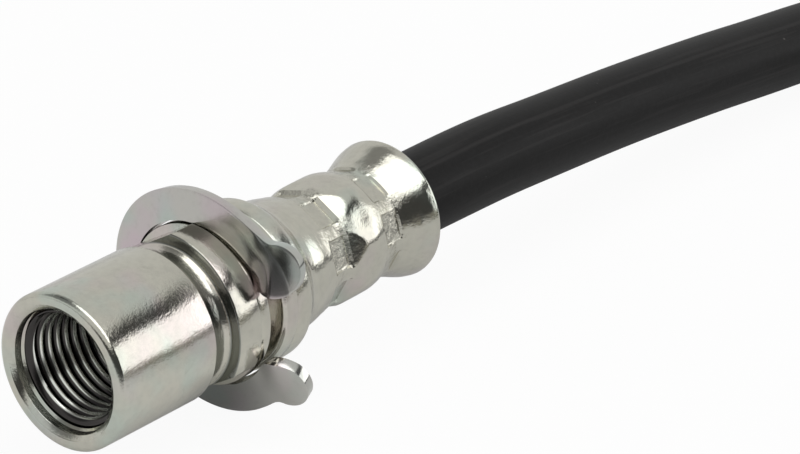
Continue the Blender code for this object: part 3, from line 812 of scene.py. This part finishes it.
def make_clip():
    bm = clip_sheet(fine=4, across=12)
    bmesh.ops.recalc_face_normals(bm, faces=bm.faces)
    bmesh.ops.rotate(bm, verts=bm.verts, cent=(0, 0, 0), matrix=Matrix.Rotation(-CLIP_LEAN, 3, "Y"))
    place = FITTING_PLACE + Vector((CLIP_MIDDLE, 0, 0))
    clip = finished("spring_clip", bm, place, replaces=("retaining_clip",))
    wall = clip.modifiers.new("Sheet", "SOLIDIFY")
    wall.thickness = CLIP_THICKNESS
    wall.offset = 0.0
    wall.use_even_offset = True
    rounding = clip.modifiers.new("Edge rounding", "BEVEL")
    rounding.width = CLIP_EDGE
    rounding.segments = 4
    rounding.limit_method = "ANGLE"
    rounding.angle_limit = radians(50)
    return clip


clip = make_clip()

# %% [markdown]
# ## The banjo fitting
# The far end is a banjo: an eye for a hollow bolt, a short neck and the same crimped shell. The
# stem is spun and pressed, the eye is a bevelled disc, and two Booleans join them and drill it.

# %% Make the banjo
EYE_THICKNESS = 11.5 * MM
EYE_HOLE_RADIUS = 5.15 * MM
BANJO_NECK_RADIUS = 5.6 * MM
BANJO_NECK_END = 14.0 * MM
BANJO_SHELL_AT = BANJO_LENGTH - SHELL_LENGTH
EYE_EDGE = 0.5 * MM
RIM_BEND = 1.2


def banjo_outline():
    start = EYE_HOLE_RADIUS + 1.0 * MM
    line = [(start, INSERT_BORE), (start, BANJO_NECK_RADIUS)]
    shoulder = smooth_through(
        (
            (BANJO_NECK_END - 0.8 * MM, BANJO_NECK_RADIUS),
            (BANJO_NECK_END, BANJO_NECK_RADIUS + 0.1 * MM),
            (BANJO_NECK_END + 0.44 * MM, BANJO_NECK_RADIUS + 0.5 * MM),
            (BANJO_SHELL_AT - 0.77 * MM, SHELL_START_RADIUS - 0.7 * MM),
            (BANJO_SHELL_AT, SHELL_START_RADIUS),
        ),
        5,
    )
    line += [tuple(point) for point in shoulder[:-1]]
    line += shell_outline(BANJO_SHELL_AT)
    line += socket_outline(BANJO_LENGTH)[1:]
    line += [(BANJO_LENGTH - SOCKET_DEPTH, INSERT_BORE)]
    return line


def disc(name, radius, thickness, sides):
    bm = bmesh.new()
    bmesh.ops.create_cone(
        bm, cap_ends=True, segments=sides, radius1=radius, radius2=radius, depth=thickness
    )
    rims = [edge for edge in bm.edges if edge.calc_face_angle() > RIM_BEND]
    bmesh.ops.bevel(
        bm, geom=rims, offset=EYE_EDGE, segments=3, profile=0.5, affect="EDGES", material=-1
    )
    bmesh.ops.translate(bm, verts=bm.verts, vec=BANJO_PLACE)
    mesh = bpy.data.meshes.new(name)
    bm.to_mesh(mesh)
    bm.free()
    obj = bpy.data.objects.new(name, mesh)
    bpy.context.scene.collection.objects.link(obj)
    return obj


def make_banjo():
    stem_mesh = spun(banjo_outline(), 192)
    press_jaws(stem_mesh, BANJO_LENGTH)
    banjo = finished(
        "banjo_fitting", stem_mesh, BANJO_PLACE, replaces=("banjo_body",)
    )
    eye = disc("eye_blank", EYE_RADIUS, EYE_THICKNESS, 128)
    hole = disc("eye_drill", EYE_HOLE_RADIUS, 2 * EYE_THICKNESS, 96)
    for operation, other in (("UNION", eye), ("DIFFERENCE", hole)):
        boolean = banjo.modifiers.new(operation.title(), "BOOLEAN")
        boolean.operation = operation
        boolean.solver = "EXACT"
        boolean.object = other
    graph = bpy.context.evaluated_depsgraph_get()
    joined = bpy.data.meshes.new_from_object(banjo.evaluated_get(graph))
    banjo.modifiers.clear()
    banjo.data = joined
    joined.shade_smooth()
    joined.set_sharp_from_angle(angle=radians(SHARP_FROM))
    for helper in (eye, hole):
        bpy.data.objects.remove(helper, do_unlink=True)
    return banjo


banjo = make_banjo()

# %% [markdown]
# ## Shader sums that read as Python
# The finishes are worked out in nodes. A small class wraps a socket, so that sums on values are
# written as ordinary expressions, and one method adds any other node.

# %% Wrap sockets
class Amount:
    """A value in a node tree. Sums on it add Math nodes."""

    def __init__(self, finish, socket):
        self.finish = finish
        self.socket = socket

    def sum(self, operation, first, second):
        return self.finish.value("ShaderNodeMath", {"operation": operation}, first, second)

    def __add__(self, other):
        return self.sum("ADD", self, other)

    def __sub__(self, other):
        return self.sum("SUBTRACT", self, other)

    def __rsub__(self, other):
        return self.sum("SUBTRACT", other, self)

    def __mul__(self, other):
        return self.sum("MULTIPLY", self, other)

    def __abs__(self):
        return self.sum("ABSOLUTE", self, 0.0)

    def __pow__(self, other):
        return self.sum("POWER", self, other)

    __radd__ = __add__
    __rmul__ = __mul__

    def ramp(self, low, high, start=0.0, end=1.0):
        """Rises smoothly from start to end while the value goes from low to high."""
        settings = {"interpolation_type": "SMOOTHSTEP", "clamp": True}
        return self.finish.value("ShaderNodeMapRange", settings, self, low, high, start, end)


class Finish:
    """A material or world, with one method that adds any node."""

    def __init__(self, tree):
        self.tree = tree

    def node(self, kind, settings=None, *inputs, **named):
        made = self.tree.nodes.new(kind)
        for key, setting in (settings or {}).items():
            setattr(made, key, setting)
        wanted = {**dict(enumerate(inputs)), **named}
        for key, given in wanted.items():
            socket = made.inputs[key.replace("_", " ") if isinstance(key, str) else key]
            given = given.socket if isinstance(given, Amount) else given
            if isinstance(given, bpy.types.NodeSocket):
                self.link(given, socket)
            elif given is not None:
                socket.default_value = given
        return made

    def value(self, kind, settings=None, *inputs, **named):
        return Amount(self, self.node(kind, settings, *inputs, **named).outputs[0])

    def link(self, source, socket):
        self.tree.links.new(source, socket)

    def noise(self, where, scale, detail=2.0, roughness=0.5, distortion=0.0):
        made = self.node(
            "ShaderNodeTexNoise",
            {"noise_dimensions": "3D"},
            Vector=where,
            Scale=scale,
            Detail=detail,
            Roughness=roughness,
            Distortion=distortion,
        )
        return Amount(self, made.outputs[0])

    def mix(self, factor, first, second):
        made = self.node("ShaderNodeMix", {"data_type": "RGBA"}, Factor=factor)
        for socket, given in zip((made.inputs[6], made.inputs[7]), (first, second)):
            if isinstance(given, bpy.types.NodeSocket):
                self.link(given, socket)
            else:
                socket.default_value = (*given, 1.0)
        return made.outputs[2]

    def stretched(self, where, factors=(1.0, 1.0, 1.0), centre=(0.0, 0.0, 0.0)):
        """The coordinates measured from a centre and stretched along each axis."""
        moved = self.node("ShaderNodeVectorMath", {"operation": "SUBTRACT"}, where, centre)
        scaled = self.node(
            "ShaderNodeVectorMath", {"operation": "MULTIPLY"}, moved.outputs[0], factors
        )
        return scaled.outputs[0]

    def parts(self, where):
        split = self.node("ShaderNodeSeparateXYZ", None, where)
        return [Amount(self, socket) for socket in split.outputs]


def new_finish(name):
    material = bpy.data.materials.new(name)
    material.use_nodes = True
    finish = Finish(material.node_tree)
    shader = material.node_tree.nodes["Principled BSDF"]
    where = finish.node("ShaderNodeTexCoord").outputs["Object"]
    return material, finish, shader, where


def dress(finish, shader, colour, roughness, metallic=1.0):
    """Give the surface its colour and its roughness."""
    finish.link(colour, shader.inputs["Base Color"])
    finish.link(roughness.socket, shader.inputs["Roughness"])
    shader.inputs["Metallic"].default_value = metallic


def roughen(finish, shader, grain, strength, distance):
    """Give the surface the fine relief of a pattern."""
    bump = finish.node("ShaderNodeBump", None, Strength=strength, Distance=distance, Height=grain)
    finish.link(bump.outputs[0], shader.inputs["Normal"])


def apply_finish(material, *pieces):
    for piece in pieces:
        piece.data.materials.clear()
        piece.data.materials.append(material)


# %% [markdown]
# ## Zinc plating
# Bright zinc is a light warm grey metal. Its thin passivation shows faint pink and green clouds,
# handling leaves dull stains, and the surface is slightly grainy, so that the edges of reflections
# break up. Fine turning lines run round the axis. Where the press has worked the shell, the skin is
# rough. Shade is painted on the collar's front face as a dark grey band.

# %% Zinc finish
# Painted shade on the collar's front face: how wide the dark grey band is and how much it darkens.
PAINTED_SHADE_EDGE = (0.06 * MM, 0.14 * MM)
PAINTED_SHADE_SHARE = 0.74
GALLED_SHARE = 4.5


def zinc_finish(name, centre, painted_shade_face=None):
    material, finish, shader, where = new_finish(name)
    local = finish.stretched(where, centre=centre)
    clouds = finish.noise(local, 95.0, 2.0, 0.5)
    blush = finish.noise(finish.stretched(local, centre=(0.03, 0.01, 0.02)), 120.0, 2.0)
    mottling = finish.noise(local, 900.0, 4.0, 0.65)
    stains = finish.noise(local, 330.0, 5.0, 0.7, 0.6)
    grit = finish.noise(local, 5200.0, 2.0, 0.6)
    pebble = finish.noise(local, 2300.0, 3.0, 0.6)
    lathe = finish.noise(finish.stretched(local, (9000.0, 60.0, 60.0)), 1.0, 2.0, 0.6)

    grey = (0.59, 0.578, 0.505)
    pink = (0.62, 0.535, 0.54)
    green = (0.50, 0.585, 0.53)
    dull_patch = (0.42, 0.41, 0.37)
    stain = (0.30, 0.285, 0.24)
    painted_shade_grey = (0.14, 0.155, 0.15)
    colour = finish.mix(clouds.ramp(0.5, 0.68, 0.0, 0.6), grey, pink)
    colour = finish.mix(blush.ramp(0.52, 0.7, 0.0, 0.6), colour, green)
    colour = finish.mix(mottling.ramp(0.35, 0.75, 0.0, 0.28), colour, dull_patch)
    colour = finish.mix(stains.ramp(0.6, 0.78, 0.0, 0.45), colour, stain)
    # Painted shade: the collar's front face is coloured dark grey.
    if painted_shade_face:
        from_painted_shade_face = abs(finish.parts(local)[0] - painted_shade_face)
        painted_shade_mask = from_painted_shade_face.ramp(*PAINTED_SHADE_EDGE, PAINTED_SHADE_SHARE, 0.0)
        colour = finish.mix(painted_shade_mask, colour, painted_shade_grey)
    roughness = 0.075 + mottling * 0.08 + stains.ramp(0.55, 0.8, 0.0, 0.14)
    dress(finish, shader, colour, roughness)
    worked = finish.node("ShaderNodeAttribute", {"attribute_name": "worked"}).outputs["Fac"]
    galled = Amount(finish, worked) * finish.noise(local, 1500.0, 4.0, 0.7, 0.8)
    grain = grit * 0.4 + pebble + lathe * 0.1 + mottling * 0.5 + galled * GALLED_SHARE
    roughen(finish, shader, grain, 0.5, 0.00004)
    return material


apply_finish(zinc_finish("bright_zinc_fitting", FITTING_PLACE, COLLAR_AT), fitting)
apply_finish(zinc_finish("bright_zinc_banjo", BANJO_PLACE), banjo)

# %% [markdown]
# ## The port's thread and the inserts
# The thread's crests are painted bright as a highlight, and its flanks are painted nearly black as
# shade. The distance from the port's axis tells one from the other. The inserts are plain turned
# steel.

# %% Thread and insert finishes
PAINTED_CREST_EDGE = (THREAD_MINOR + 0.22 * MM, THREAD_MINOR + 0.34 * MM)
CREST_RAGGED = 0.6 * MM * MM


def thread_finish():
    material, finish, shader, where = new_finish("thread_steel_painted_highlight_and_shade")
    side, height = finish.parts(finish.stretched(where, centre=FITTING_PLACE))[1:]
    wear = finish.noise(where, 700.0, 3.0, 0.6)
    off_axis = (side * side + height * height + wear * CREST_RAGGED) ** 0.5
    # Painted highlight on the crests and painted shade on the flanks, chosen by the distance from
    # the axis.
    painted_crest_highlight = off_axis.ramp(*PAINTED_CREST_EDGE, 1.0, 0.0)
    colour = finish.mix(painted_crest_highlight, (0.06, 0.056, 0.055), (0.88, 0.90, 0.85))
    dress(finish, shader, colour, wear * 0.12 + 0.14)
    return material


def turned_finish():
    material, finish, shader, where = new_finish("turned_insert_steel")
    wear = finish.noise(where, 700.0, 3.0, 0.6)
    colour = finish.mix(wear.ramp(0.4, 0.7, 0.0, 0.4), (0.36, 0.34, 0.30), (0.252, 0.238, 0.21))
    dress(finish, shader, colour, wear * 0.12 + 0.28)
    roughen(finish, shader, finish.noise(where, 4000.0, 2.0), 0.3, 0.00001)
    return material


apply_finish(thread_finish(), thread)
apply_finish(turned_finish(), seat, far_nipple)

# %% [markdown]
# ## Plated spring steel
# The clip is smoother than the fitting, with broad soft reflections and the same faint blush. A
# dark reflection is painted on the upper ear and along the lower part of the sheet, where it thins
# out towards the lower ear.

# %% Clip finish
# Painted dark reflection: its edge round the upper ear, and how much it darkens the upper ear and
# the lower sheet.
PAINTED_REFLECTION_EDGE = (1.5 * MM, 3.3 * MM)
UPPER_PAINTED_REFLECTION = 0.54
LOWER_PAINTED_REFLECTION = 0.6


def clip_finish():
    material, finish, shader, where = new_finish("plated_spring_steel")
    clouds = finish.noise(where, 110.0, 2.0, 0.5)
    second = finish.noise(finish.stretched(where, centre=(0.05, 0.0, 0.01)), 140.0, 1.0)
    mottling = finish.noise(where, 1200.0, 4.0, 0.6)
    grey = (0.54, 0.53, 0.50)
    pink = (0.585, 0.485, 0.53)
    green = (0.47, 0.56, 0.52)
    dull_patch = (0.38, 0.37, 0.34)
    painted_reflection_grey = (0.19, 0.20, 0.205)
    colour = finish.mix(clouds.ramp(0.45, 0.65, 0.0, 0.8), grey, pink)
    colour = finish.mix(second.ramp(0.52, 0.7, 0.0, 0.6), colour, green)
    colour = finish.mix(mottling.ramp(0.5, 0.8, 0.0, 0.3), colour, dull_patch)
    # Painted dark reflection: the upper ear and the back of the lower sheet are coloured dark grey,
    # fading out towards the lower ear.
    side, height = finish.parts(finish.stretched(where, centre=FITTING_PLACE))[1:]
    out = side * -1 - EAR_OUT
    above = height - EAR_SPREAD
    from_ear = (out * out + above * above) ** 0.5
    upper = from_ear.ramp(*PAINTED_REFLECTION_EDGE, UPPER_PAINTED_REFLECTION, 0.0)
    below = height.ramp(-9 * MM, -5 * MM, 1.0, 0.0)
    lower = below * out.ramp(-9 * MM, 2.5 * MM, LOWER_PAINTED_REFLECTION, 0.0)
    colour = finish.mix(upper + lower, colour, painted_reflection_grey)
    dress(finish, shader, colour, mottling * 0.07 + 0.11)
    roughen(finish, shader, mottling, 0.35, 0.00001)
    return material


apply_finish(clip_finish(), clip)

# %% [markdown]
# ## Hose rubber
# The cover is extruded rubber: nearly black, smooth, with a low sheen. A faint lighter line from
# the extruder runs along it, and a few specks of dust and scuffs lie on it. The pattern uses
# coordinates that follow the hose, so it bends with it.

# %% Rubber finish
LINE_ANGLE = radians(60)


def rubber_finish():
    material, finish, shader = new_finish("hose_rubber_cover")[:3]
    straight = finish.node("ShaderNodeAttribute", {"attribute_name": "straight"}).outputs["Vector"]
    side, up = finish.parts(straight)[1:]
    off_line = abs(side * cos(LINE_ANGLE) - up * sin(LINE_ANGLE))
    line = off_line.ramp(0.10 * MM, 0.42 * MM, 1.0, 0.0)
    skin = finish.noise(straight, 1500.0, 4.0, 0.6)
    drawn = finish.noise(finish.stretched(straight, (40.0, 1400.0, 1400.0)), 1.0, 3.0, 0.6)
    dust = finish.noise(straight, 620.0, 2.0, 0.5)
    colour = finish.mix(
        skin.ramp(0.35, 0.75, 0.0, 0.5), (0.005, 0.0048, 0.005), (0.011, 0.0105, 0.011)
    )
    colour = finish.mix(drawn.ramp(0.5, 0.7, 0.0, 0.6), colour, (0.022, 0.021, 0.021))
    colour = finish.mix(line * 0.35, colour, (0.035, 0.033, 0.033))
    colour = finish.mix(dust.ramp(0.74, 0.8, 0.0, 0.5), colour, (0.12, 0.115, 0.11))
    dress(finish, shader, colour, drawn * 0.14 + 0.42, metallic=0.0)
    shader.inputs["Specular IOR Level"].default_value = 0.17
    roughen(finish, shader, skin + drawn, 0.4, 0.00003)
    return material


def hidden_rubber_finish():
    """The hose's crimped ends, which lie inside the sockets."""
    material, finish, shader, where = new_finish("crimped_rubber")
    skin = finish.noise(where, 1500.0, 4.0, 0.6)
    colour = finish.mix(skin.ramp(0.3, 0.8), (0.0165, 0.0155, 0.0165), (0.03, 0.028, 0.028))
    dress(finish, shader, colour, skin * 0.2 + 0.45, metallic=0.0)
    roughen(finish, shader, skin, 0.3, 0.00003)
    return material


crimped_ends = [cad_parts["hose_end_front"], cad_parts["hose_end_rear"]]
apply_finish(rubber_finish(), hose)
apply_finish(hidden_rubber_finish(), *crimped_ends)

# %% [markdown]
# The hose's length along its route.

length_of(hose_path)

# %% [markdown]
# ## Table
# The table is plain and near white. Bright metal shows its surroundings, and a table that is white
# everywhere would wash the steel out. So the camera sees it white, while the metal mirrors it as it
# is lit, a little dimmer beside the shell, and much dimmer ahead of the port, as if it ended there.

# %% Make the table
SEEN_WHITE = 0.94
MIRRORED_WHITE = 0.12
EDGE_LEVEL = 0.17
AHEAD = (-0.76, -0.64)
AHEAD_EDGE = (0.055, 0.16)
BESIDE_EDGE = (-0.004, 0.02)
BESIDE_SHARE = 0.18


def table_finish():
    material, finish, shader, where = new_finish("white_table")
    shader.inputs["Base Color"].default_value = (0.86, 0.86, 0.86, 1.0)
    shader.inputs["Roughness"].default_value = 0.9
    shader.inputs["Specular IOR Level"].default_value = 0.0
    path = finish.node("ShaderNodeLightPath")
    camera_ray = Amount(finish, path.outputs["Is Camera Ray"])
    glossy_ray = Amount(finish, path.outputs["Is Glossy Ray"])
    east, north = finish.parts(where)[:2]
    dimmed = (east * AHEAD[0] + north * AHEAD[1]).ramp(*AHEAD_EDGE)
    dimmed = dimmed + east.ramp(*BESIDE_EDGE) * BESIDE_SHARE

    def glowing(share, surface, level):
        glow = finish.node("ShaderNodeEmission", None, (1.0, 1.0, 1.0, 1.0), level)
        blend = finish.node("ShaderNodeMixShader", None, share, surface, glow.outputs[0])
        return blend.outputs[0]

    seen = camera_ray * SEEN_WHITE + glossy_ray * MIRRORED_WHITE
    surface = glowing(seen, shader.outputs[0], 1.0)
    surface = glowing(glossy_ray * dimmed, surface, EDGE_LEVEL)
    finish.link(surface, material.node_tree.nodes["Material Output"].inputs[0])
    return material


def make_table():
    bm = bmesh.new()
    bmesh.ops.create_grid(bm, x_segments=1, y_segments=1, size=3.0)
    mesh = bpy.data.meshes.new("table")
    bm.to_mesh(mesh)
    bm.free()
    table = bpy.data.objects.new("table", mesh)
    bpy.context.scene.collection.objects.link(table)
    apply_finish(table_finish(), table)


make_table()

# %% [markdown]
# ## Room and lamps
# The room is pale, but its front is dark up to a slanting line, and a broad low softbox stands to
# the right in that dark part. The gap between the box and the line draws the streak along the
# barrel. Two patches high up are dimmer: one behind, which the bulges and the flare mirror, and one
# to the left, which the port's upper edge mirrors. A wide soft lamp above lights all of it.

# %% Light the room
ROOM_LEVEL = 0.72
DARK_LEVEL = 0.065
GAP_TILT = (-0.222, 0.139)
GAP_TOP = (0.44, 0.53)
GAP_FRONT = (0.1, 0.35)
GAP_RIGHT = (0.71, 0.79)
BEHIND = (0.15, 0.5, 0.85)
BEHIND_DIMMER = 0.42
LEFT = (-0.43, 0.58, 0.69)
LEFT_DIMMER = 0.48


def light_room():
    world = bpy.data.worlds.new("pale_room")
    bpy.context.scene.world = world
    world.use_nodes = True
    finish = Finish(world.node_tree)
    background = world.node_tree.nodes["Background"]
    direction = finish.node("ShaderNodeTexCoord").outputs["Generated"]
    east, north, up = finish.parts(direction)

    def towards(heading):
        return east * heading[0] + north * heading[1] + up * heading[2]

    slanting = up + east * GAP_TILT[0] + north * GAP_TILT[1]
    dark = slanting.ramp(*GAP_TOP, 1.0, 0.0) * north.ramp(*GAP_FRONT, 1.0, 0.0)
    dark = dark * east.ramp(*GAP_RIGHT, 1.0, 0.0)
    behind = towards(BEHIND).ramp(0.9, 0.98) * BEHIND_DIMMER
    left = towards(LEFT).ramp(0.86, 0.97) * LEFT_DIMMER
    level = ROOM_LEVEL - dark * (ROOM_LEVEL - DARK_LEVEL) - behind - left
    path = finish.node("ShaderNodeLightPath")
    camera_ray = Amount(finish, path.outputs["Is Camera Ray"])
    strength = level * (1 - camera_ray) + camera_ray
    background.inputs["Color"].default_value = (1.0, 1.0, 0.985, 1.0)
    finish.link(strength.socket, background.inputs["Strength"])


def soft_box(name, direction, distance, size, power, aim):
    data = bpy.data.lights.new(name, "AREA")
    data.shape = "RECTANGLE"
    data.size = size[0]
    data.size_y = size[1]
    data.energy = power
    lamp = bpy.data.objects.new(name, data)
    lamp.location = aim + Vector(direction).normalized() * distance
    lamp.rotation_euler = (aim - lamp.location).to_track_quat("-Z", "Y").to_euler()
    bpy.context.scene.collection.objects.link(lamp)


light_room()
soft_box("low_side_box", (0.70, -0.67, 0.252), 0.9, (0.62, 0.47), 1.45, FITTING_PLACE)
soft_box("top_box", (0.1, -0.28, 0.96), 1.0, (0.7, 1.2), 4.0, FITTING_PLACE)
